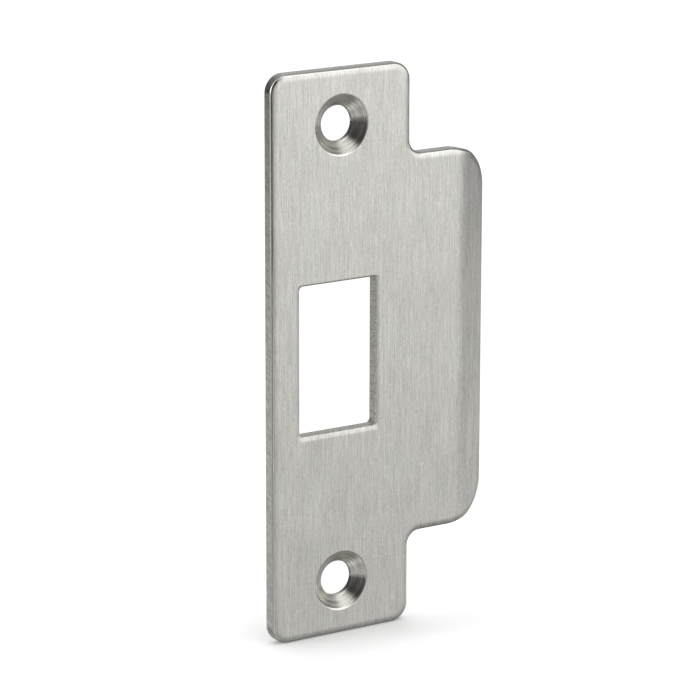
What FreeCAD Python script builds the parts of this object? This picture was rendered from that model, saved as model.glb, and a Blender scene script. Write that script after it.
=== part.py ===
"""Door strike plate: one stamped sheet, standing upright as it is screwed to a door frame.

Millimetres. The origin is on the back face, midway between the two screw holes. The back face lies in the
plane Y = 0 and faces +Y, the brushed front faces -Y, the lip points to +X and +Z is up.
"""
import FreeCAD, Part
import math
import os

import Sketcher

Vector = FreeCAD.Vector

SIZES = {
    # the upright plate
    "plate_height": 123.8,
    "plate_width": 34.4,
    "sheet": 3.0,
    "plate_corner_radius": 4.0,
    # the tongue beside it, and the lip folded back at its end
    "tongue_height": 84.0,
    "tongue_reach": 12.4,
    "notch_radius": 3.0,
    "fold_inner_radius": 6.3,
    "lip_angle": 20.0,
    "lip_length": 5.3,
    "lip_corner_radius": 9.4,
    # the hole that takes the latch bolt
    "latch_width": 19.2,
    "latch_height": 32.8,
    "latch_margin": 6.8,
    "latch_corner_radius": 1.0,
    # the two countersunk screw holes
    "screw_spacing": 100.0,
    "screw_bore": 7.6,
    "countersink_width": 12.9,
    "countersink_angle": 100.0,
    # the edges: rolled over and polished on the front, broken on the back
    "front_edge_radius": 0.8,
    "back_edge_radius": 0.3,
}

doc = FreeCAD.newDocument("strike_plate")


def fill_sheet():
    """Put every driving size in a spreadsheet cell that carries its name."""
    table = doc.addObject("Spreadsheet::Sheet", "sizes")
    for row, (name, value) in enumerate(SIZES.items(), start=1):
        table.set(f"A{row}", name)
        table.set(f"B{row}", str(value))
        table.setAlias(f"B{row}", name)
    doc.recompute()
    return table


sizes = fill_sheet()


def size(name):
    """The value that a cell of the spreadsheet holds now."""
    return float(sizes.get(name))


def new_sketch(body, name, plane_role, lift=None):
    """A sketch on one of the body's own planes, lifted off it by an expression."""
    sketch = body.newObject("Sketcher::SketchObject", name)
    plane = next(feature for feature in body.Origin.OriginFeatures if feature.Role == plane_role)
    sketch.AttachmentSupport = [(plane, "")]
    sketch.MapMode = "FlatFace"
    if lift:
        sketch.setExpression(".AttachmentOffset.Base.z", lift)
    return sketch


def bind(sketch, name, constraint, expression):
    """Add a constraint under a name and tie it to the spreadsheet."""
    index = sketch.addConstraint(constraint)
    sketch.renameConstraint(index, name)
    sketch.setExpression(f"Constraints.{name}", expression)


def add_rectangle(sketch, left, right, low, high):
    """Four lines joined end to end, level and upright; the numbers are a first guess for the solver."""
    corners = [Vector(left, low), Vector(right, low), Vector(right, high), Vector(left, high)]
    lines = [sketch.addGeometry(Part.LineSegment(corners[k], corners[(k + 1) % 4])) for k in range(4)]
    for k in range(4):
        sketch.addConstraint(Sketcher.Constraint("Coincident", lines[k], 2, lines[(k + 1) % 4], 1))
        sketch.addConstraint(Sketcher.Constraint("Vertical" if k % 2 else "Horizontal", lines[k]))
    return lines


def middle(edge):
    """The point halfway along an edge."""
    return edge.valueAt((edge.FirstParameter + edge.LastParameter) / 2)


def edge_names(shape, wanted):
    """The names of a shape's edges whose midpoint and edge satisfy a test."""
    return [f"Edge{k}" for k, edge in enumerate(shape.Edges, start=1) if wanted(edge, middle(edge))]


def near(value, target):
    return abs(value - target) < 1e-4


def runs_through(edge):
    """True for a straight edge that runs through the sheet from front to back."""
    if len(edge.Vertexes) < 2:
        return False
    span = edge.Vertexes[1].Point - edge.Vertexes[0].Point
    return near(abs(span.y), span.Length)


def round_edges(body, name, names, radius):
    """Fillet the named edges of the body's last feature with a radius from the spreadsheet."""
    base = body.Tip
    fillet = body.newObject("PartDesign::Fillet", name)
    fillet.Base = (base, names)
    fillet.setExpression("Radius", radius)
    doc.recompute()
    return fillet


def pad_plate(body):
    """The upright plate, drawn on the back face and padded forward."""
    sketch = new_sketch(body, "plate_outline", "XZ_Plane")
    half_width = size("plate_width") / 2
    half_height = size("plate_height") / 2
    low, right, high = add_rectangle(sketch, -half_width, half_width, -half_height, half_height)[:3]
    sketch.addConstraint(Sketcher.Constraint("Symmetric", low, 1, high, 1, -1, 1))
    bind(sketch, "width", Sketcher.Constraint("DistanceX", low, 1, low, 2, 2 * half_width), "sizes.plate_width")
    bind(sketch, "height", Sketcher.Constraint("DistanceY", right, 1, right, 2, 2 * half_height),
         "sizes.plate_height")
    pad = body.newObject("PartDesign::Pad", "plate")
    pad.Profile = sketch
    pad.setExpression("Length", "sizes.sheet")
    doc.recompute()
    return pad


def pad_tongue(body):
    """The tongue and its lip: the sheet's section seen from above, padded to the tongue's height."""
    sketch = new_sketch(body, "tongue_section", "XY_Plane")
    thick = size("sheet")
    fold_x = size("plate_width") / 2 + size("tongue_reach")
    inner = size("fold_inner_radius")
    turn = math.radians(size("lip_angle"))
    reach = size("lip_length")
    axis = Vector(fold_x, inner)
    along = Vector(math.cos(turn), math.sin(turn))
    outward = Vector(math.sin(turn), -math.cos(turn))
    back_tip = axis + outward * inner + along * reach
    front_tip = back_tip + outward * thick
    start_angle = 1.5 * math.pi

    def bend(radius):
        return Part.ArcOfCircle(Part.Circle(axis, Vector(0, 0, 1), radius), start_angle, start_angle + turn)

    back_flat = sketch.addGeometry(Part.LineSegment(Vector(0, 0), Vector(fold_x, 0)))
    back_bend = sketch.addGeometry(bend(inner))
    back_lip = sketch.addGeometry(Part.LineSegment(axis + outward * inner, back_tip))
    lip_end = sketch.addGeometry(Part.LineSegment(back_tip, front_tip))
    front_lip = sketch.addGeometry(Part.LineSegment(front_tip, axis + outward * (inner + thick)))
    front_bend = sketch.addGeometry(bend(inner + thick))
    front_flat = sketch.addGeometry(Part.LineSegment(Vector(fold_x, -thick), Vector(0, -thick)))
    centre_line = sketch.addGeometry(Part.LineSegment(Vector(0, -thick), Vector(0, 0)))

    for constraint in (
        Sketcher.Constraint("Coincident", back_flat, 1, -1, 1),
        Sketcher.Constraint("Horizontal", back_flat),
        Sketcher.Constraint("Tangent", back_flat, 2, back_bend, 1),
        Sketcher.Constraint("Tangent", back_bend, 2, back_lip, 1),
        Sketcher.Constraint("Coincident", back_lip, 2, lip_end, 1),
        Sketcher.Constraint("Perpendicular", back_lip, lip_end),
        Sketcher.Constraint("Coincident", lip_end, 2, front_lip, 1),
        Sketcher.Constraint("Parallel", back_lip, front_lip),
        Sketcher.Constraint("Tangent", front_lip, 2, front_bend, 2),
        Sketcher.Constraint("Coincident", back_bend, 3, front_bend, 3),
        Sketcher.Constraint("Tangent", front_bend, 1, front_flat, 1),
        Sketcher.Constraint("Horizontal", front_flat),
        Sketcher.Constraint("Coincident", front_flat, 2, centre_line, 1),
        Sketcher.Constraint("Vertical", centre_line),
        Sketcher.Constraint("Coincident", centre_line, 2, back_flat, 1),
    ):
        sketch.addConstraint(constraint)
    bind(sketch, "fold_start", Sketcher.Constraint("DistanceX", back_flat, 1, back_flat, 2, fold_x),
         "sizes.plate_width / 2 + sizes.tongue_reach")
    bind(sketch, "fold_radius", Sketcher.Constraint("Radius", back_bend, inner), "sizes.fold_inner_radius")
    bind(sketch, "thickness", Sketcher.Constraint("DistanceY", centre_line, 1, centre_line, 2, thick),
         "sizes.sheet")
    bind(sketch, "lip", Sketcher.Constraint("Distance", back_lip, 1, back_lip, 2, reach), "sizes.lip_length")
    bind(sketch, "turn", Sketcher.Constraint("Angle", back_lip, turn), "sizes.lip_angle")
    pad = body.newObject("PartDesign::Pad", "tongue")
    pad.Profile = sketch
    pad.SideType = "Symmetric"
    pad.setExpression("Length", "sizes.tongue_height")
    doc.recompute()
    return pad


def round_outline(body):
    """The plate's four corners and the two notches beside the tongue."""
    half_width = size("plate_width") / 2
    half_height = size("plate_height") / 2
    half_tongue = size("tongue_height") / 2

    def plate_corner(edge, point):
        return runs_through(edge) and near(abs(point.x), half_width) and near(abs(point.z), half_height)

    def notch(edge, point):
        return runs_through(edge) and near(point.x, half_width) and near(abs(point.z), half_tongue)

    round_edges(body, "plate_corners", edge_names(body.Tip.Shape, plate_corner), "sizes.plate_corner_radius")
    round_edges(body, "notches", edge_names(body.Tip.Shape, notch), "sizes.notch_radius")


def trim_lip_corners(body):
    """Cut the lip's two outer corners round, square to the lip's own face, past the fold into the tongue."""
    sketch = new_sketch(body, "lip_corners", "XZ_Plane")
    turn = size("lip_angle")
    tip_x = ("sizes.plate_width / 2 + sizes.tongue_reach + sizes.fold_inner_radius * sin(sizes.lip_angle * 1deg)"
             " + sizes.lip_length * cos(sizes.lip_angle * 1deg)")
    tip_y = ("sizes.fold_inner_radius * (1 - cos(sizes.lip_angle * 1deg))"
             " + sizes.lip_length * sin(sizes.lip_angle * 1deg)")
    sketch.AttachmentOffset = FreeCAD.Placement(Vector(0, 0, 0), FreeCAD.Rotation(Vector(0, 1, 0), turn))
    sketch.setExpression(".AttachmentOffset.Base.x", tip_x)
    sketch.setExpression(".AttachmentOffset.Base.z", f"-({tip_y})")
    sketch.setExpression(".AttachmentOffset.Rotation.Angle", "sizes.lip_angle * 1deg")
    radius = size("lip_corner_radius")
    spare = size("sheet")
    level = size("tongue_height") / 2
    for side, word in ((1, "upper"), (-1, "lower")):
        centre = Vector(-radius, side * (level - radius))
        on_edge = Vector(-radius, side * level)
        on_end = Vector(0, side * (level - radius))
        beyond = [Vector(spare, on_end.y), Vector(spare, side * (level + spare)),
                  Vector(-radius, side * (level + spare))]
        start, end = (0, math.pi / 2) if side > 0 else (-math.pi / 2, 0)
        arc = sketch.addGeometry(Part.ArcOfCircle(Part.Circle(centre, Vector(0, 0, 1), radius), start, end))
        end_point, edge_point = (1, 2) if side > 0 else (2, 1)
        out = sketch.addGeometry(Part.LineSegment(on_end, beyond[0]))
        up = sketch.addGeometry(Part.LineSegment(beyond[0], beyond[1]))
        across = sketch.addGeometry(Part.LineSegment(beyond[1], beyond[2]))
        down = sketch.addGeometry(Part.LineSegment(beyond[2], on_edge))
        for constraint in (
            Sketcher.Constraint("Coincident", arc, end_point, out, 1),
            Sketcher.Constraint("Coincident", out, 2, up, 1),
            Sketcher.Constraint("Coincident", up, 2, across, 1),
            Sketcher.Constraint("Coincident", across, 2, down, 1),
            Sketcher.Constraint("Coincident", down, 2, arc, edge_point),
            Sketcher.Constraint("Horizontal", out),
            Sketcher.Constraint("Vertical", up),
            Sketcher.Constraint("Horizontal", across),
            Sketcher.Constraint("Vertical", down),
            Sketcher.Constraint("PointOnObject", arc, end_point, -2),
            Sketcher.Constraint("Horizontal", arc, end_point, arc, 3),
            Sketcher.Constraint("Vertical", arc, edge_point, arc, 3),
        ):
            sketch.addConstraint(constraint)
        bind(sketch, f"{word}_radius", Sketcher.Constraint("Radius", arc, radius), "sizes.lip_corner_radius")
        first, second = ((-1, 1), (arc, edge_point)) if side > 0 else ((arc, edge_point), (-1, 1))
        bind(sketch, f"{word}_level", Sketcher.Constraint("DistanceY", *first, *second, level),
             "sizes.tongue_height / 2")
        bind(sketch, f"{word}_beyond", Sketcher.Constraint("DistanceX", out, 1, out, 2, spare), "sizes.sheet")
        lift = (down, 2, down, 1) if side > 0 else (down, 1, down, 2)
        bind(sketch, f"{word}_above", Sketcher.Constraint("DistanceY", *lift, spare), "sizes.sheet")
    pocket = body.newObject("PartDesign::Pocket", "rounded_lip")
    pocket.Profile = sketch
    pocket.Type = "ThroughAll"
    pocket.SideType = "Symmetric"
    doc.recompute()
    return pocket


def cut_latch_hole(body):
    """The rectangular hole for the latch bolt, nearer the plate's plain side."""
    sketch = new_sketch(body, "latch_outline", "XZ_Plane")
    left = size("latch_margin") - size("plate_width") / 2
    right = left + size("latch_width")
    half_height = size("latch_height") / 2
    low, far = add_rectangle(sketch, left, right, -half_height, half_height)[:2]
    bind(sketch, "width", Sketcher.Constraint("DistanceX", low, 1, low, 2, right - left), "sizes.latch_width")
    bind(sketch, "top", Sketcher.Constraint("DistanceY", -1, 1, far, 2, half_height), "sizes.latch_height / 2")
    bind(sketch, "height", Sketcher.Constraint("DistanceY", far, 1, far, 2, 2 * half_height),
         "sizes.latch_height")
    bind(sketch, "margin", Sketcher.Constraint("DistanceX", low, 1, -1, 1, -left),
         "sizes.plate_width / 2 - sizes.latch_margin")
    pocket = body.newObject("PartDesign::Pocket", "latch_hole")
    pocket.Profile = sketch
    pocket.Type = "ThroughAll"
    pocket.SideType = "Symmetric"
    doc.recompute()

    def latch_corner(edge, point):
        return (runs_through(edge) and near(abs(point.z), half_height)
                and (near(point.x, left) or near(point.x, right)))

    round_edges(body, "latch_corners", edge_names(pocket.Shape, latch_corner), "sizes.latch_corner_radius")
    return pocket


def drill_screw_holes(body):
    """Two countersunk holes on the plate's centre line, drilled from the front."""
    sketch = new_sketch(body, "screw_centres", "XZ_Plane", "sizes.sheet")
    half_spacing = size("screw_spacing") / 2
    bore = size("screw_bore")
    circles = [sketch.addGeometry(Part.Circle(Vector(0, side * half_spacing), Vector(0, 0, 1), bore / 2))
               for side in (1, -1)]
    upper, lower = circles
    sketch.addConstraint(Sketcher.Constraint("Symmetric", upper, 3, lower, 3, -1, 1))
    sketch.addConstraint(Sketcher.Constraint("PointOnObject", upper, 3, -2))
    sketch.addConstraint(Sketcher.Constraint("Equal", upper, lower))
    bind(sketch, "bore", Sketcher.Constraint("Diameter", upper, bore), "sizes.screw_bore")
    bind(sketch, "spacing", Sketcher.Constraint("DistanceY", lower, 3, upper, 3, 2 * half_spacing),
         "sizes.screw_spacing")
    doc.recompute()
    hole = body.newObject("PartDesign::Hole", "screw_holes")
    hole.Profile = sketch
    hole.ThreadType = "None"
    hole.DepthType = "ThroughAll"
    hole.HoleCutType = "Countersink"
    hole.HoleCutCustomValues = True
    hole.setExpression("Diameter", "sizes.screw_bore")
    hole.setExpression("HoleCutDiameter", "sizes.countersink_width")
    hole.setExpression("HoleCutCountersinkAngle", "sizes.countersink_angle")
    doc.recompute()
    return hole


def rim_names(shape, facing):
    """The names of the edges where a sheet face turns into its cut walls; facing is -1 in front, 1 behind."""
    flattest = math.cos(math.radians(size("lip_angle"))) - 0.01

    def on_sheet_face(face):
        first, last, low, high = face.ParameterRange
        return facing * face.normalAt((first + last) / 2, (low + high) / 2).y > flattest

    def is_rim(edge, point):
        sides = shape.ancestorsOfType(edge, Part.Face)
        turned = any(isinstance(face.Surface, Part.Cone) for face in sides)
        return sum(on_sheet_face(face) for face in sides) == 1 and len(sides) == 2 and not turned

    return edge_names(shape, is_rim)


def soften_edges(body):
    """Round the stamped edges all round the plate, the lip and the latch hole."""
    round_edges(body, "front_edges", rim_names(body.Tip.Shape, -1), "sizes.front_edge_radius")
    round_edges(body, "back_edges", rim_names(body.Tip.Shape, 1), "sizes.back_edge_radius")


def build_strike_plate():
    """The whole stamping, feature by feature in the order it is made."""
    body = doc.addObject("PartDesign::Body", "strike_plate")
    body.Label = "strike_plate"
    pad_plate(body)
    pad_tongue(body)
    round_outline(body)
    trim_lip_corners(body)
    cut_latch_hole(body)
    soften_edges(body)
    drill_screw_holes(body)
    return body


def check(body):
    """Stop if a feature failed or the finished solid is not one valid piece."""
    for item in doc.Objects:
        if {"Invalid", "Error"} & set(item.State):
            raise RuntimeError(f"{item.Label} did not compute: {item.State}")
    shape = body.Shape
    if shape.isNull() or not shape.isValid() or len(shape.Solids) != 1:
        raise RuntimeError(f"{body.Label} is not one valid solid")
    return shape


plate = build_strike_plate()
doc.recompute()
finished = check(plate)
os.makedirs("parts", exist_ok=True)
finished.exportStep(f"parts/{plate.Label}.step")
box = finished.optimalBoundingBox()
print(f"{plate.Label}: {box.XLength:.2f} x {box.YLength:.2f} x {box.ZLength:.2f} mm, {finished.Volume:.1f} mm3")
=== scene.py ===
"""Door strike plate in brushed stainless steel, standing upright on a white studio floor."""
import math

import bpy
from mathutils import Matrix, Vector


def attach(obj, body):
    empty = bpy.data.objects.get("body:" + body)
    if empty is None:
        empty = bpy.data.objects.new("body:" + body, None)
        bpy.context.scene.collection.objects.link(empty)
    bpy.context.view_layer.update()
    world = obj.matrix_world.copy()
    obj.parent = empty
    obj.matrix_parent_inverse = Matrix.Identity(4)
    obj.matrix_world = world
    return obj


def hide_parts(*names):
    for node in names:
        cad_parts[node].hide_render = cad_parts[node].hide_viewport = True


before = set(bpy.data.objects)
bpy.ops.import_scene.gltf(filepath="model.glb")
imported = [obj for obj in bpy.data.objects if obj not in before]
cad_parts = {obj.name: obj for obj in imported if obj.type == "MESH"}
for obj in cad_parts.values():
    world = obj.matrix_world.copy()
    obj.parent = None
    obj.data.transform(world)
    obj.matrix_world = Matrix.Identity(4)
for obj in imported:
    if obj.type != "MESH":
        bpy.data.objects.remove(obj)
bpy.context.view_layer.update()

MM = 0.001
PLATE_WIDTH = 34.4 * MM
PLATE_HEIGHT = 123.8 * MM
SHEET = 3.0 * MM
PLATE_CORNER_RADIUS = 4.0 * MM
TONGUE_HEIGHT = 84.0 * MM
TONGUE_REACH = 12.4 * MM
NOTCH_RADIUS = 3.0 * MM
FOLD_INNER_RADIUS = 6.3 * MM
LIP_ANGLE = math.radians(20.0)
LIP_LENGTH = 5.3 * MM
LIP_CORNER_RADIUS = 9.4 * MM
LATCH_WIDTH = 19.2 * MM
LATCH_HEIGHT = 32.8 * MM
LATCH_MARGIN = 6.8 * MM
LATCH_CORNER_RADIUS = 1.0 * MM
SCREW_SPACING = 100.0 * MM
SCREW_BORE = 7.6 * MM
COUNTERSINK_WIDTH = 12.9 * MM
COUNTERSINK_ANGLE = math.radians(100.0)

# the front edge rolls over gently before it turns into the cut wall
ROLL_WIDTH = 1.7 * MM
ROLL_DROP = 0.27 * MM
ROLL_STOPS = (0.35, 0.45, 0.55, 0.65, 0.75, 0.85, 0.93, 1.0)
ROLL_POWER = 2.2
# a level ring inside the roll keeps the roll's shading off the face
LEVEL_RING = ROLL_WIDTH / 4
ARRIS_RADIUS = 0.5 * MM
# the punch drags the latch hole's rim down with it: depth below the face, mean reach beyond the hole
LATCH_FLARE = ((0.13 * MM, 0.0), (0.075 * MM, 0.35 * MM), (0.025 * MM, 0.6 * MM), (0.0, 0.85 * MM))
# the flare grows from a point above the hole's middle, so it reaches furthest at the foot
FLARE_CENTRE = 0.25 * LATCH_HEIGHT
LATCH_ARRIS_RADIUS = 0.22 * MM
BACK_EDGE_RADIUS = 0.3 * MM
# each countersink's rim is softened from just inside its edge to just outside
RIM_INSIDE = 0.16 * MM
RIM_OUTSIDE = 0.34 * MM
RIM_STEPS = 7
# the cutting tool runs on past the rim by this many of its last steps
RUN_OUT = 2
FOLD_STEPS = 14
# the fold eases in and out alike, so the lip stays in its plane
EASE_RUN = 1.4 * MM
EASE_STEPS = 4
EASE_TURN = math.radians(1.8)

# how many steps each rounding has, and how many sides a screw hole
PLATE_CORNER_STEPS = 14
NOTCH_STEPS = 12
LIP_CORNER_STEPS = 28
LATCH_CORNER_STEPS = 10
ARRIS_STEPS = 6
FINE_EDGE_STEPS = 4
HOLE_SIDES = 128

# how much of a face's normal lies along Y: all of it on the sheet's faces, none on a wall square to them
LEVEL = 0.995
FACING = 0.93
SLOPING = 0.8
UPRIGHT_WALL = 0.3
# what lies this near the latch hole isn't the outline's arris
LATCH_SURROUND = 1.8 * MM

SMOOTH_ANGLE = math.radians(20.0)
FLAT_ANGLE = math.radians(1)
QUARTER_TURN = math.radians(90)
NUDGE = 0.001 * MM
MERGE = 0.004 * MM

HALF_WIDTH = PLATE_WIDTH / 2
FOLD_START = HALF_WIDTH + TONGUE_REACH
FOLD_RUN = FOLD_INNER_RADIUS * LIP_ANGLE
BLANK_END = FOLD_START + FOLD_RUN + LIP_LENGTH
LATCH_CENTRE = LATCH_MARGIN - HALF_WIDTH + LATCH_WIDTH / 2
FLOOR_HEIGHT = -PLATE_HEIGHT / 2


# Working on a mesh in edit mode

def select_only(obj):
    bpy.ops.object.select_all(action="DESELECT")
    obj.select_set(True)
    bpy.context.view_layer.objects.active = obj


def open_mesh(obj):
    """Enter edit mode on one object with nothing selected."""
    select_only(obj)
    bpy.ops.object.mode_set(mode="EDIT")
    bpy.ops.mesh.select_all(action="DESELECT")


def close_mesh():
    bpy.ops.object.mode_set(mode="OBJECT")


def pick(obj, kind, wanted):
    """Select, in edit mode, the vertices, edges or faces that satisfy a test on their points."""
    bpy.ops.mesh.select_mode(type={"vertices": "VERT", "edges": "EDGE", "polygons": "FACE"}[kind])
    bpy.ops.mesh.select_all(action="DESELECT")
    bpy.ops.object.mode_set(mode="OBJECT")
    mesh = obj.data
    for item in getattr(mesh, kind):
        if kind == "vertices":
            item.select = wanted(item.co)
        elif kind == "edges":
            item.select = wanted(*[mesh.vertices[k].co for k in item.vertices])
        else:
            item.select = wanted(item.center, item.normal)
    bpy.ops.object.mode_set(mode="EDIT")


def extrude(x=0.0, y=0.0):
    """Pull the selected edge or face along X or Y."""
    bpy.ops.mesh.extrude_region_move(TRANSFORM_OT_translate={"value": (x, y, 0)})


def bevel(radius, steps, affect="EDGES"):
    """Round the selected edges or corners."""
    bpy.ops.mesh.bevel(offset=radius, offset_type="OFFSET", segments=steps, profile=0.5, affect=affect)


def close_to(value, target):
    return abs(value - target) < NUDGE


def start_piece(name):
    """Name the primitive that was just added and put its place into its mesh."""
    obj = bpy.context.active_object
    obj.name = name
    obj.data.name = name
    bpy.ops.object.transform_apply(location=True, rotation=True, scale=True)
    return obj


def cut_away(obj, tool):
    """Subtract a cutting tool from a piece and throw the tool away."""
    select_only(obj)
    cut = obj.modifiers.new("cut", "BOOLEAN")
    cut.object = tool
    cut.operation = "DIFFERENCE"
    cut.solver = "EXACT"
    bpy.ops.object.modifier_apply(modifier=cut.name)
    bpy.data.objects.remove(tool, do_unlink=True)


# The stamping

def cut_blank():
    """The flat blank's front face as one outline: the plate, the tongue beside it and the unfolded lip."""
    bpy.ops.object.select_all(action="DESELECT")
    bpy.ops.mesh.primitive_plane_add(size=1.0, location=(0, ROLL_DROP - SHEET, 0),
                                     rotation=(QUARTER_TURN, 0, 0))
    bpy.context.active_object.scale = (PLATE_WIDTH, PLATE_HEIGHT, 1)
    blank = start_piece("stamped_plate")
    open_mesh(blank)
    for level in (-TONGUE_HEIGHT / 2, TONGUE_HEIGHT / 2):
        bpy.ops.mesh.select_all(action="SELECT")
        bpy.ops.mesh.bisect(plane_co=(0, 0, level), plane_no=(0, 0, 1))
    pick(blank, "edges", lambda a, b: close_to(a.x, HALF_WIDTH) and close_to(b.x, HALF_WIDTH)
         and close_to(a.z, -b.z))
    extrude(x=BLANK_END - HALF_WIDTH)
    bpy.ops.mesh.select_all(action="SELECT")
    bpy.ops.mesh.dissolve_limited(angle_limit=FLAT_ANGLE)
    round_corners(blank, (-HALF_WIDTH, HALF_WIDTH), PLATE_HEIGHT / 2, PLATE_CORNER_RADIUS, PLATE_CORNER_STEPS)
    round_corners(blank, (HALF_WIDTH,), TONGUE_HEIGHT / 2, NOTCH_RADIUS, NOTCH_STEPS)
    round_corners(blank, (BLANK_END,), TONGUE_HEIGHT / 2, LIP_CORNER_RADIUS, LIP_CORNER_STEPS)
    return blank


def round_corners(blank, places, level, radius, steps):
    """Round the corners at some places along X, as far above the middle as below it."""
    pick(blank, "vertices", lambda p: close_to(abs(p.z), level) and any(close_to(p.x, x) for x in places))
    bevel(radius, steps, affect="VERTICES")


def thicken(blank):
    """Pull the back face out of the front one, through the sheet."""
    bpy.ops.mesh.select_all(action="SELECT")
    extrude(y=SHEET - ROLL_DROP)
    bpy.ops.mesh.select_all(action="SELECT")
    bpy.ops.mesh.normals_make_consistent(inside=False)
    close_mesh()


def roll_front_edges(blank):
    """Raise the front face ring by ring inside the outline, then round the edge that is left."""
    open_mesh(blank)
    low = ROLL_DROP - SHEET
    pick(blank, "polygons", lambda c, n: close_to(c.y, low) and n.y < -FACING)
    reached, height = 0.0, 0.0
    for stop in ROLL_STOPS:
        rise = ROLL_DROP * (1 - (1 - stop) ** ROLL_POWER)
        bpy.ops.mesh.inset(thickness=ROLL_WIDTH * (stop - reached), depth=rise - height, use_boundary=True,
                           use_even_offset=True)
        reached, height = stop, rise
    bpy.ops.mesh.inset(thickness=LEVEL_RING, depth=0.0, use_boundary=True, use_even_offset=True)
    pick(blank, "edges", lambda a, b: close_to(a.y, low) and close_to(b.y, low))
    bevel(ARRIS_RADIUS, ARRIS_STEPS)
    close_mesh()


def past_latch_hole(p):
    """How far a point lies outside the latch hole, below zero inside it."""
    return max(abs(p.x - LATCH_CENTRE) - LATCH_WIDTH / 2, abs(p.z) - LATCH_HEIGHT / 2)


def punch_latch_hole(blank):
    """Cut the latch hole with a punch that flares towards the front face, then round the arris inside it."""
    bpy.ops.object.select_all(action="DESELECT")
    front, tail = LATCH_FLARE[0][0] - SHEET, 2 * SHEET
    bpy.ops.mesh.primitive_cube_add(size=1.0, location=(LATCH_CENTRE, (front + tail) / 2, 0))
    bpy.context.active_object.scale = (LATCH_WIDTH, tail - front, LATCH_HEIGHT)
    punch = start_piece("latch_punch")
    open_mesh(punch)
    pick(punch, "edges", lambda a, b: abs(a.y - b.y) > SHEET)
    bevel(LATCH_CORNER_RADIUS, LATCH_CORNER_STEPS)
    pick(punch, "polygons", lambda c, n: n.y < -FACING)
    for (depth, reach), (next_depth, next_reach) in zip(LATCH_FLARE, LATCH_FLARE[1:]):
        extrude(y=next_depth - depth)
        grow = [(length + 2 * next_reach) / (length + 2 * reach) for length in (LATCH_WIDTH, LATCH_HEIGHT)]
        bpy.ops.transform.resize(value=(grow[0], 1, grow[1]), center_override=(LATCH_CENTRE, 0, FLARE_CENTRE))
    extrude(y=-SHEET)
    close_mesh()
    cut_away(blank, punch)
    open_mesh(blank)
    pick(blank, "edges", lambda a, b: close_to(a.y, front) and close_to(b.y, front)
         and past_latch_hole(a) < NUDGE)
    bevel(LATCH_ARRIS_RADIUS, FINE_EDGE_STEPS)


def break_back_edges(blank):
    """Round the back face's edges lightly, round the outline and the latch hole."""
    pick(blank, "polygons", lambda c, n: close_to(c.y, 0) and n.y > FACING)
    bpy.ops.mesh.region_to_loop()
    bevel(BACK_EDGE_RADIUS, FINE_EDGE_STEPS)
    close_mesh()


def countersink_profile():
    """Radius and depth below the face, from the bore up the cone and over the rounded rim."""
    rim = COUNTERSINK_WIDTH / 2
    slope = math.tan(COUNTERSINK_ANGLE / 2)
    stations = [(SCREW_BORE / 2, (rim - SCREW_BORE / 2) / slope)]
    for step in range(RIM_STEPS + 1):
        share = step / RIM_STEPS
        low, high = (1 - share) ** 2, share ** 2
        stations.append((rim - low * RIM_INSIDE + high * RIM_OUTSIDE, low * RIM_INSIDE / slope))
    (last_radius, last_depth), (radius, depth) = stations[-2:]
    stations.append((radius + RUN_OUT * (radius - last_radius), depth + RUN_OUT * (depth - last_depth)))
    return stations


def countersink_screw_holes(blank):
    """Cut each hole with one turned tool: the bore, the cone and the softened rim."""
    for side in (1, -1):
        level = side * SCREW_SPACING / 2
        bpy.ops.object.select_all(action="DESELECT")
        bpy.ops.mesh.primitive_circle_add(vertices=HOLE_SIDES, radius=SCREW_BORE / 2, fill_type="NGON",
                                          location=(0, SHEET, level), rotation=(QUARTER_TURN, 0, 0))
        tool = start_piece("countersink_tool")
        open_mesh(tool)
        bpy.ops.mesh.select_all(action="SELECT")
        radius, y = SCREW_BORE / 2, SHEET
        for reach, depth in countersink_profile():
            extrude(y=depth - SHEET - y)
            grow = reach / radius
            bpy.ops.transform.resize(value=(grow, 1, grow), center_override=(0, 0, level))
            radius, y = reach, depth - SHEET
        extrude(y=-SHEET)
        bpy.ops.mesh.select_all(action="SELECT")
        bpy.ops.mesh.normals_make_consistent(inside=False)
        close_mesh()
        cut_away(blank, tool)
    open_mesh(blank)
    bpy.ops.mesh.select_all(action="SELECT")
    bpy.ops.mesh.remove_doubles(threshold=MERGE)
    close_mesh()


def fold_lip(blank):
    """Fold the end of the tongue back, a small turn at a time from the outermost line inwards."""
    open_mesh(blank)
    fold_end = FOLD_START + FOLD_RUN
    lines = []
    for start, run, turn, steps in (
        (FOLD_START - EASE_RUN, EASE_RUN, EASE_TURN, EASE_STEPS),
        (FOLD_START, FOLD_RUN, LIP_ANGLE - 2 * EASE_TURN, FOLD_STEPS),
        (fold_end, EASE_RUN, EASE_TURN, EASE_STEPS),
    ):
        lines += [(start + run * (step + 0.5) / steps, turn / steps) for step in range(steps)]
    margin = EASE_RUN / EASE_STEPS
    before, after = FOLD_START - EASE_RUN - margin, fold_end + EASE_RUN + margin
    for x in [before] + [x for x, turn in lines] + [after]:
        bpy.ops.mesh.select_all(action="SELECT")
        bpy.ops.mesh.bisect(plane_co=(x, 0, 0), plane_no=(1, 0, 0))
    for x, turn in reversed(lines):
        pick(blank, "vertices", lambda p: p.x > x + NUDGE)
        bpy.ops.transform.rotate(value=-turn, orient_axis="Z", center_override=(x, 0, 0))
    close_mesh()


def finish_shape(blank):
    """Shade the rounded edges smooth without bending the light on the flat faces."""
    select_only(blank)
    bpy.ops.object.shade_smooth_by_angle(angle=SMOOTH_ANGLE)
    even = blank.modifiers.new("flat faces lead", "WEIGHTED_NORMAL")
    even.keep_sharp = True
    bpy.ops.object.modifier_apply(modifier=even.name)


# Materials

STEEL = (0.70, 0.69, 0.65)
STEEL_WARM = (0.708, 0.688, 0.65)
STEEL_COOL = (0.695, 0.692, 0.653)
TURNED = (0.68, 0.66, 0.615)
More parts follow.
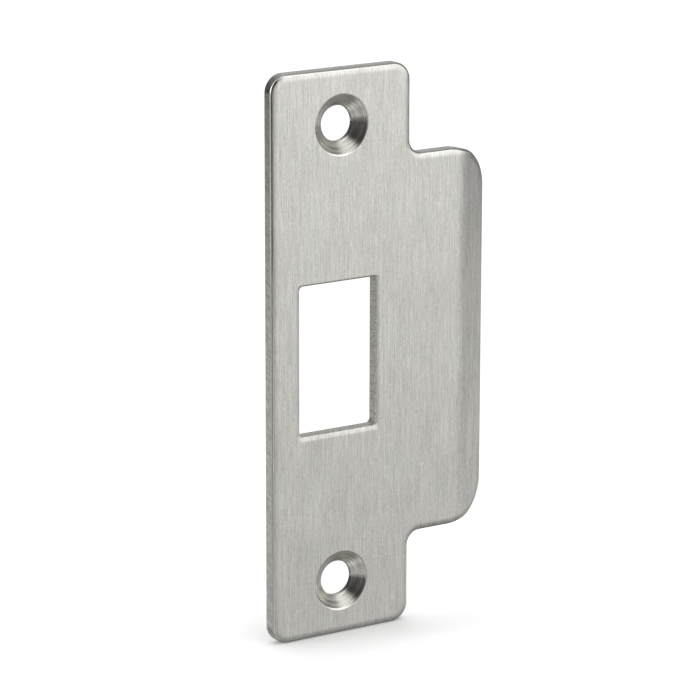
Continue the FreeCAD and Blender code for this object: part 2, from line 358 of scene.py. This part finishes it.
# each layer of hairlines: its length in millimetres and its share of the grain
HAIRLINES = ((0.7, 0.28), (2.6, 0.28), (13.0, 0.34))
CLOUD_SHARE = 0.1


def new_material(name):
    """A material and its node tree and shader."""
    material = bpy.data.materials.new(name)
    material.use_nodes = True
    return material, material.node_tree, material.node_tree.nodes["Principled BSDF"]


def new_metal(name):
    """A bare metal that still lacks its colour and roughness."""
    material, tree, shader = new_material(name)
    shader.inputs["Metallic"].default_value = 1.0
    return material, tree, shader


def node(tree, kind, **settings):
    made = tree.nodes.new(kind)
    for name, value in settings.items():
        setattr(made, name, value)
    return made


def feed(tree, socket, value):
    """Set a socket to a number or a colour, or link another node's output to it."""
    if isinstance(value, (int, float, tuple)):
        socket.default_value = value
    else:
        tree.links.new(value, socket)


def math_node(tree, operation, first, second=None, third=None):
    made = node(tree, "ShaderNodeMath", operation=operation)
    for socket, value in zip(made.inputs, (first, second, third)):
        if value is not None:
            feed(tree, socket, value)
    return made.outputs[0]


def object_point(tree):
    return node(tree, "ShaderNodeTexCoord").outputs["Object"]


def stretched_noise(tree, point, size, detail, rough=0.6):
    """Noise whose grain measures size millimetres along X, Y and Z."""
    place = node(tree, "ShaderNodeMapping")
    place.inputs["Scale"].default_value = [1 / (length * MM) for length in size]
    tree.links.new(point, place.inputs["Vector"])
    noise = node(tree, "ShaderNodeTexNoise")
    noise.inputs["Scale"].default_value = 1.0
    noise.inputs["Detail"].default_value = detail
    noise.inputs["Roughness"].default_value = rough
    tree.links.new(place.outputs["Vector"], noise.inputs["Vector"])
    return noise.outputs["Fac"]


def tint(tree, shader, grain, colour, spread):
    """Brighten and darken the metal by the grain: spread is the share at the grain's full swing."""
    amount = math_node(tree, "MULTIPLY_ADD", grain, 2 * spread, 1 - spread)
    scale = node(tree, "ShaderNodeVectorMath", operation="SCALE")
    feed(tree, scale.inputs[0], colour)
    tree.links.new(amount, scale.inputs["Scale"])
    tree.links.new(scale.outputs[0], shader.inputs["Base Color"])


def mottle(tree, point, warm, cool):
    """A metal colour that drifts between two near shades over a few millimetres."""
    patches = stretched_noise(tree, point, (5.0, 5.0, 8.0), 2.0)
    share = math_node(tree, "MULTIPLY_ADD", patches, 3.0, -1.0)
    mixed = node(tree, "ShaderNodeMix", data_type="RGBA")
    tree.links.new(share, mixed.inputs["Factor"])
    mixed.inputs[6].default_value = warm + (1,)
    mixed.inputs[7].default_value = cool + (1,)
    return mixed.outputs[2]


def dent(tree, shader, height, distance, strength):
    """Let the grain stand out of the surface by a distance, more or less strongly."""
    bump = node(tree, "ShaderNodeBump")
    bump.inputs["Strength"].default_value = strength
    bump.inputs["Distance"].default_value = distance
    tree.links.new(height, bump.inputs["Height"])
    tree.links.new(bump.outputs["Normal"], shader.inputs["Normal"])


def across_brushing(tree, shader):
    """Spread the reflections level, square to hairlines that run up and down."""
    tangent = node(tree, "ShaderNodeTangent", direction_type="RADIAL", axis="Z")
    tree.links.new(tangent.outputs["Tangent"], shader.inputs["Tangent"])


def brushed_metal(name, roughness, hairline):
    """Hairline finish drawn up and down the sheet: fine short lines over longer ones, as wide as given."""
    material, tree, shader = new_metal(name)
    point = object_point(tree)
    grain = 0.0
    for length, share in HAIRLINES:
        lines = stretched_noise(tree, point, (hairline, hairline, length), 2.0)
        grain = math_node(tree, "MULTIPLY_ADD", lines, share, grain)
    cloud = stretched_noise(tree, point, (14 * hairline, 14 * hairline, 30 * hairline), 2.0)
    grain = math_node(tree, "MULTIPLY_ADD", cloud, CLOUD_SHARE, grain)
    tint(tree, shader, grain, mottle(tree, point, STEEL_WARM, STEEL_COOL), spread=0.9)
    dent(tree, shader, grain, distance=0.006 * MM, strength=0.15)
    shader.inputs["Roughness"].default_value = roughness
    shader.inputs["Anisotropic"].default_value = 0.7
    across_brushing(tree, shader)
    return material


def polished_edge():
    """The rolled arris round the outline, rubbed bright by tumbling."""
    material, tree, shader = new_metal("polished_arris")
    wear = stretched_noise(tree, object_point(tree), (0.5, 0.5, 2.5), 3.0)
    tint(tree, shader, wear, STEEL, spread=0.3)
    shader.inputs["Roughness"].default_value = 0.1
    return material


def sheared_metal():
    """The outer cut wall: slanting marks left by the shear, dulled by the brushing."""
    material, tree, shader = new_metal("sheared_wall")
    tilt = node(tree, "ShaderNodeMapping", vector_type="TEXTURE")
    tilt.inputs["Rotation"].default_value = (math.radians(35), 0, 0)
    tree.links.new(object_point(tree), tilt.inputs["Vector"])
    marks = stretched_noise(tree, tilt.outputs["Vector"], (1.2, 1.6, 0.35), 3.0)
    tint(tree, shader, marks, STEEL, spread=0.8)
    dent(tree, shader, marks, distance=0.02 * MM, strength=0.3)
    shader.inputs["Roughness"].default_value = 0.28
    return material


def punched_metal():
    """The sheared wall of the latch hole: torn, pitted and a little dull."""
    material, tree, shader = new_metal("punched_wall")
    point = object_point(tree)
    pits = stretched_noise(tree, point, (0.35, 0.5, 0.35), 4.0, 0.7)
    tears = stretched_noise(tree, point, (0.25, 2.0, 0.25), 3.0)
    grain = math_node(tree, "ADD", math_node(tree, "MULTIPLY", pits, 0.6),
                      math_node(tree, "MULTIPLY", tears, 0.4))
    tint(tree, shader, grain, STEEL, spread=1.6)
    dent(tree, shader, pits, distance=0.05 * MM, strength=0.5)
    shader.inputs["Roughness"].default_value = 0.42
    return material


def turned_metal():
    """The countersunk cones: rings left by the cutter round each hole's axis."""
    material, tree, shader = new_metal("turned_countersink")
    parts = node(tree, "ShaderNodeSeparateXYZ")
    tree.links.new(object_point(tree), parts.inputs[0])
    height = math_node(tree, "SUBTRACT", math_node(tree, "ABSOLUTE", parts.outputs["Z"]), SCREW_SPACING / 2)
    side = math_node(tree, "SIGN", parts.outputs["Z"])
    upright = math_node(tree, "MULTIPLY", height, side)
    radial = node(tree, "ShaderNodeCombineXYZ")
    tree.links.new(parts.outputs["X"], radial.inputs["X"])
    tree.links.new(upright, radial.inputs["Z"])
    length = node(tree, "ShaderNodeVectorMath", operation="LENGTH")
    tree.links.new(radial.outputs[0], length.inputs[0])
    angle = math_node(tree, "ARCTAN2", upright, parts.outputs["X"])
    ring = node(tree, "ShaderNodeCombineXYZ")
    tree.links.new(length.outputs["Value"], ring.inputs["X"])
    tree.links.new(math_node(tree, "MULTIPLY", angle, 1.0 * MM), ring.inputs["Y"])
    rings = stretched_noise(tree, ring.outputs[0], (0.13, 1.3, 1.0), 2.0)
    tint(tree, shader, rings, TURNED, spread=1.3)
    dent(tree, shader, rings, distance=0.022 * MM, strength=0.7)
    shader.inputs["Roughness"].default_value = 0.24
    shader.inputs["Anisotropic"].default_value = 0.75
    round_hole = node(tree, "ShaderNodeCombineXYZ")
    tree.links.new(math_node(tree, "MULTIPLY", upright, -1.0), round_hole.inputs["X"])
    tree.links.new(parts.outputs["X"], round_hole.inputs["Z"])
    tree.links.new(round_hole.outputs[0], shader.inputs["Tangent"])
    shader.inputs["Anisotropic Rotation"].default_value = 0.25
    return material


def wears(obj, material, wanted):
    """Give a material to the faces that satisfy a test on their centre and normal."""
    obj.data.materials.append(material)
    open_mesh(obj)
    pick(obj, "polygons", wanted)
    obj.active_material_index = len(obj.data.materials) - 1
    bpy.ops.object.material_slot_assign()
    close_mesh()


def by_screw_hole(p):
    """True inside the softened rim of either countersink."""
    return math.hypot(p.x, abs(p.z) - SCREW_SPACING / 2) < COUNTERSINK_WIDTH / 2 + RIM_OUTSIDE


def in_screw_hole(c, n):
    return abs(n.y) < LEVEL and by_screw_hole(c)


def in_latch_hole(c, n):
    return abs(n.y) < SLOPING and past_latch_hole(c) < LATCH_ARRIS_RADIUS


def on_outer_wall(c, n):
    return abs(n.y) < UPRIGHT_WALL and past_latch_hole(c) > NUDGE


def on_arris(c, n):
    return -FACING < n.y < -UPRIGHT_WALL and past_latch_hole(c) > LATCH_SURROUND and not by_screw_hole(c)


def dress(blank):
    """Give each surface its metal while the blank is flat, so that the fold carries it along."""
    wears(blank, brushed_metal("brushed_front", roughness=0.34, hairline=0.3), lambda c, n: n.y <= 0)
    wears(blank, brushed_metal("brushed_back", roughness=0.36, hairline=0.36),
          lambda c, n: n.y > UPRIGHT_WALL)
    wears(blank, sheared_metal(), on_outer_wall)
    wears(blank, polished_edge(), on_arris)
    wears(blank, punched_metal(), in_latch_hole)
    wears(blank, turned_metal(), in_screw_hole)


# The plate

plate = cut_blank()
thicken(plate)
roll_front_edges(plate)
punch_latch_hole(plate)
break_back_edges(plate)
countersink_screw_holes(plate)
dress(plate)
fold_lip(plate)
finish_shape(plate)
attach(plate, "root")
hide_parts("strike_plate")


# Studio

BRIGHTEST = 6.0
# elevation, then brightness by compass direction from straight in front of the plate, in degrees
ROOM = (
    (-80, ((-180, 0.2), (180, 0.2))),
    (-63, ((-180, 0.3), (-90, 0.3), (-30, 0.9), (32, 0.27), (95, 0.2), (180, 0.35))),
    (-48, ((-180, 0.35), (-90, 0.3), (-30, 0.45), (32, 0.22), (95, 0.2), (180, 0.4))),
    (-29, ((-180, 0.4), (-148, 0.22), (-90, 0.45), (-48, 0.5), (-30, 0.8), (0, 0.4), (32, 0.36), (60, 0.35),
           (95, 0.38), (180, 0.45))),
    (-22, ((-180, 0.45), (-148, 0.33), (-90, 0.45), (-60, 0.4), (-53, 0.4), (-46, 0.4), (-36, 0.97),
           (-12, 0.4), (5, 0.4), (22, 0.66), (32, 0.8), (36, 0.83), (44, 0.46), (58, 0.43), (72, 0.4),
           (100, 0.4), (148, 0.47), (180, 0.46))),
    (-15.5, ((-180, 0.5), (-148, 0.8), (-112, 0.5), (-75, 0.45), (-60, 0.35), (-52, 0.14), (-44, 0.12),
             (-32, 0.93), (-12, 0.4), (5, 0.38), (22, 0.78), (32, 1.08), (35, 1.12), (43, 0.44), (58, 0.5),
             (72, 1.2), (100, 0.56), (148, 0.5), (180, 0.48))),
    (-10, ((-180, 0.1), (-148, 0.0), (-121, 0.03), (-109, 2.0), (-97, 0.2), (-60, 0.12), (-53, 0.02),
           (-43, 0.02), (-33, 0.37), (-15, 0.25), (0, 0.3), (12, 0.35), (22, 1.0), (31, 2.3), (35, 3.1),
           (41, 0.04), (46, 0.0), (64, 0.0), (82, 0.0), (97, 0.3), (122, 0.32), (148, 0.5), (180, 0.3))),
    (5, ((-180, 0.06), (-148, 0.02), (-122, 0.08), (-110, 6.0), (-97, 0.4), (-60, 0.12), (-50, 0.04),
         (-30, 0.1), (-13, 0.36), (4, 0.36), (16, 0.5), (28, 2.5), (38, 2.5), (54, 0.9), (70, 0.08),
         (97, 0.2), (122, 0.3), (148, 0.5), (180, 0.25))),
    (27, ((-180, 0.2), (-140, 0.1), (-122, 0.12), (-110, 4.0), (-92, 0.3), (-60, 0.06), (-28, 0.04),
          (14, 0.15), (28, 1.7), (40, 1.7), (57, 0.6), (74, 0.2), (110, 0.27), (148, 0.5), (180, 0.3))),
    (40, ((-180, 0.2), (-145, 0.12), (-124, 0.15), (-110, 3.0), (-92, 0.3), (-75, 0.1), (-36, 0.03),
          (-26, 0.06), (0, 0.5), (24, 1.5), (42, 1.35), (52, 0.6), (62, 0.3), (90, 0.3), (148, 0.5),
          (180, 0.3))),
    (52, ((-180, 0.25), (-145, 0.15), (-124, 0.2), (-110, 2.5), (-92, 0.4), (-75, 0.1), (-52, 0.05),
          (-34, 0.08), (-20, 0.9), (0, 1.2), (34, 1.15), (48, 0.85), (57, 0.55), (66, 0.32), (90, 0.32),
          (148, 0.5), (180, 0.3))),
    (85, ((-180, 0.55), (180, 0.55))),
)
FLOOR_FILL = 0.13
FLOOR_SIZE = 6.0
FLOOR_SHADE = 0.9
# the floor glows white to the camera, with a painted contact shadow that dims the glow where something stands
# within this reach of it
FLOOR_GLOW = 0.78
PAINTED_SHADOW_REACH = 28 * MM

# the camera, fitted to the photograph's straight edges, both screw holes and the latch hole
CAMERA_AZIMUTH = math.radians(-32.364)
CAMERA_ELEVATION = math.radians(14.76)
CAMERA_ROLL = math.radians(0.115)
CAMERA_DISTANCE = 760.4 * MM
CAMERA_TARGET = Vector((2.09 * MM, -SHEET, 1.118 * MM))
CAMERA_LENS = 184.04
CAMERA_SENSOR = 36.0

# the dark card: its way and distance from the upper screw hole
CARD_COMPASS = math.radians(-50)
CARD_DISTANCE = 100 * MM
CARD_WIDTH = 38 * MM
# how far below that hole the card starts and ends
CARD_TOP = math.radians(5)
CARD_FOOT = math.radians(27)
CARD_SHADE = 0.02

LAMP_PLACE = Vector((0.0, 0.05, 1.0))
LAMP_SPREAD = math.radians(60)
LAMP_ENERGY = 0.5


def blend(tree, share, low, high):
    """The low value where the share is 0, the high one where it is 1."""
    mixed = node(tree, "ShaderNodeMix", data_type="FLOAT")
    tree.links.new(share, mixed.inputs[0])
    feed(tree, mixed.inputs[2], low)
    feed(tree, mixed.inputs[3], high)
    return mixed.outputs[0]


def ramp_round(tree, turn, stops):
    """Brightness by compass direction, from stops in degrees."""
    ramp = node(tree, "ShaderNodeValToRGB")
    band = ramp.color_ramp
    band.interpolation = "EASE"
    while len(band.elements) < len(stops):
        band.elements.new(0.5)
    for element, (degrees, level) in zip(band.elements, stops):
        element.position = degrees / 360 + 0.5
        element.color = (level / BRIGHTEST,) * 3 + (1,)
    tree.links.new(turn, ramp.inputs[0])
    return math_node(tree, "MULTIPLY", ramp.outputs[0], BRIGHTEST)


def rise_between(tree, value, low, high):
    """0 below the first elevation, 1 above the second, even between, in degrees."""
    step = node(tree, "ShaderNodeMapRange", interpolation_type="LINEAR")
    step.inputs["From Min"].default_value = math.radians(low)
    step.inputs["From Max"].default_value = math.radians(high)
    tree.links.new(value, step.inputs["Value"])
    return step.outputs["Result"]


def add_world():
    """A soft room that the steel mirrors: a bright strip far left and a broader one ahead to the right.

    It is dark between them. The camera sees it white, and the floor gets an even fill from it.
    """
    world = bpy.data.worlds.new("studio_room")
    world.use_nodes = True
    tree = world.node_tree
    parts = node(tree, "ShaderNodeSeparateXYZ")
    tree.links.new(node(tree, "ShaderNodeTexCoord").outputs["Generated"], parts.inputs[0])
    forward = math_node(tree, "MULTIPLY", parts.outputs["Y"], -1.0)
    compass = math_node(tree, "ARCTAN2", parts.outputs["X"], forward)
    turn = math_node(tree, "MULTIPLY_ADD", compass, 1 / math.tau, 0.5)
    climb = math_node(tree, "ARCSINE", parts.outputs["Z"])
    room = ramp_round(tree, turn, ROOM[0][1])
    for (below, _), (above, stops) in zip(ROOM, ROOM[1:]):
        room = blend(tree, rise_between(tree, climb, below, above), room, ramp_round(tree, turn, stops))
    path = node(tree, "ShaderNodeLightPath").outputs
    room = blend(tree, path["Is Diffuse Ray"], room, FLOOR_FILL)
    strength = blend(tree, path["Is Camera Ray"], room, 1.0)
    tree.links.new(strength, tree.nodes["Background"].inputs["Strength"])
    tree.nodes["Background"].inputs["Color"].default_value = (1, 1, 1, 1)
    bpy.context.scene.world = world


def matt_material(name, shade):
    """One grey without gloss."""
    material, tree, shader = new_material(name)
    shader.inputs["Base Color"].default_value = (shade, shade, shade, 1)
    shader.inputs["Roughness"].default_value = 1.0
    shader.inputs["Specular IOR Level"].default_value = 0.0
    return material, tree, shader


def add_floor():
    """A white floor with the lamp's soft shadow of the plate and a painted contact shadow that dims its glow
    near the plate; the steel mirrors the room instead of it.
    """
    bpy.ops.object.select_all(action="DESELECT")
    bpy.ops.mesh.primitive_plane_add(size=FLOOR_SIZE, location=(0, 0, FLOOR_HEIGHT))
    floor = bpy.context.active_object
    floor.name = "studio_floor"
    floor.visible_glossy = False
    material, tree, shader = matt_material("white_floor", FLOOR_SHADE)
    shader.inputs["Emission Color"].default_value = (1, 1, 1, 1)
    seen = node(tree, "ShaderNodeLightPath").outputs["Is Camera Ray"]
    # painted contact shadow: ambient occlusion dims the floor's white glow near the plate
    painted_contact_shadow = node(tree, "ShaderNodeAmbientOcclusion", samples=16)
    painted_contact_shadow.inputs["Distance"].default_value = PAINTED_SHADOW_REACH
    glow_with_painted_shadow = math_node(tree, "MULTIPLY", seen, math_node(tree, "MULTIPLY", painted_contact_shadow.outputs["AO"], FLOOR_GLOW))
    tree.links.new(glow_with_painted_shadow, shader.inputs["Emission Strength"])
    floor.data.materials.append(material)


def aim(place, way):
    """A placement at a point, looking along a direction with its top up."""
    return Matrix.Translation(place) @ way.to_track_quat("-Z", "Y").to_matrix().to_4x4()


def add_camera():
    """The photograph's camera: a long lens, to the left of the plate and a little above it."""
    level = math.cos(CAMERA_ELEVATION)
    back = Vector((math.sin(CAMERA_AZIMUTH) * level, -math.cos(CAMERA_AZIMUTH) * level,
                   math.sin(CAMERA_ELEVATION)))
    data = bpy.data.cameras.new("camera")
    data.sensor_width = CAMERA_SENSOR
    data.lens = CAMERA_LENS
    camera = bpy.data.objects.new("camera", data)
    bpy.context.scene.collection.objects.link(camera)
    turned = Matrix.Rotation(CAMERA_ROLL, 4, "Z")
    camera.matrix_world = aim(CAMERA_TARGET + back * CAMERA_DISTANCE, -back) @ turned
    bpy.context.scene.camera = camera


def add_dark_card():
    """A black card to the left, before the plate. Only the steel mirrors it, most in the upper hole."""
    bpy.ops.object.select_all(action="DESELECT")
    top, foot = CARD_DISTANCE * math.tan(CARD_TOP), CARD_DISTANCE * math.tan(CARD_FOOT)
    place = (CARD_DISTANCE * math.sin(CARD_COMPASS), -SHEET - CARD_DISTANCE * math.cos(CARD_COMPASS),
             SCREW_SPACING / 2 - (top + foot) / 2)
    bpy.ops.mesh.primitive_plane_add(size=1.0, location=place, rotation=(QUARTER_TURN, 0, CARD_COMPASS))
    bpy.context.active_object.scale = (CARD_WIDTH, foot - top, 1)
    card = start_piece("dark_card")
    card.visible_camera = card.visible_diffuse = card.visible_transmission = card.visible_shadow = False
    card.data.materials.append(matt_material("black_card", CARD_SHADE)[0])


def add_key_light():
    """Soft light from overhead, a touch behind, for the faint shadow at the foot of the plate."""
    data = bpy.data.lights.new("overhead", "SUN")
    data.angle = LAMP_SPREAD
    data.energy = LAMP_ENERGY
    lamp = bpy.data.objects.new("overhead", data)
    bpy.context.scene.collection.objects.link(lamp)
    lamp.matrix_world = aim(LAMP_PLACE, -LAMP_PLACE)
    lamp.visible_glossy = False


add_world()
add_floor()
add_camera()
add_dark_card()
add_key_light()
bpy.context.scene.view_settings.view_transform = "Standard"
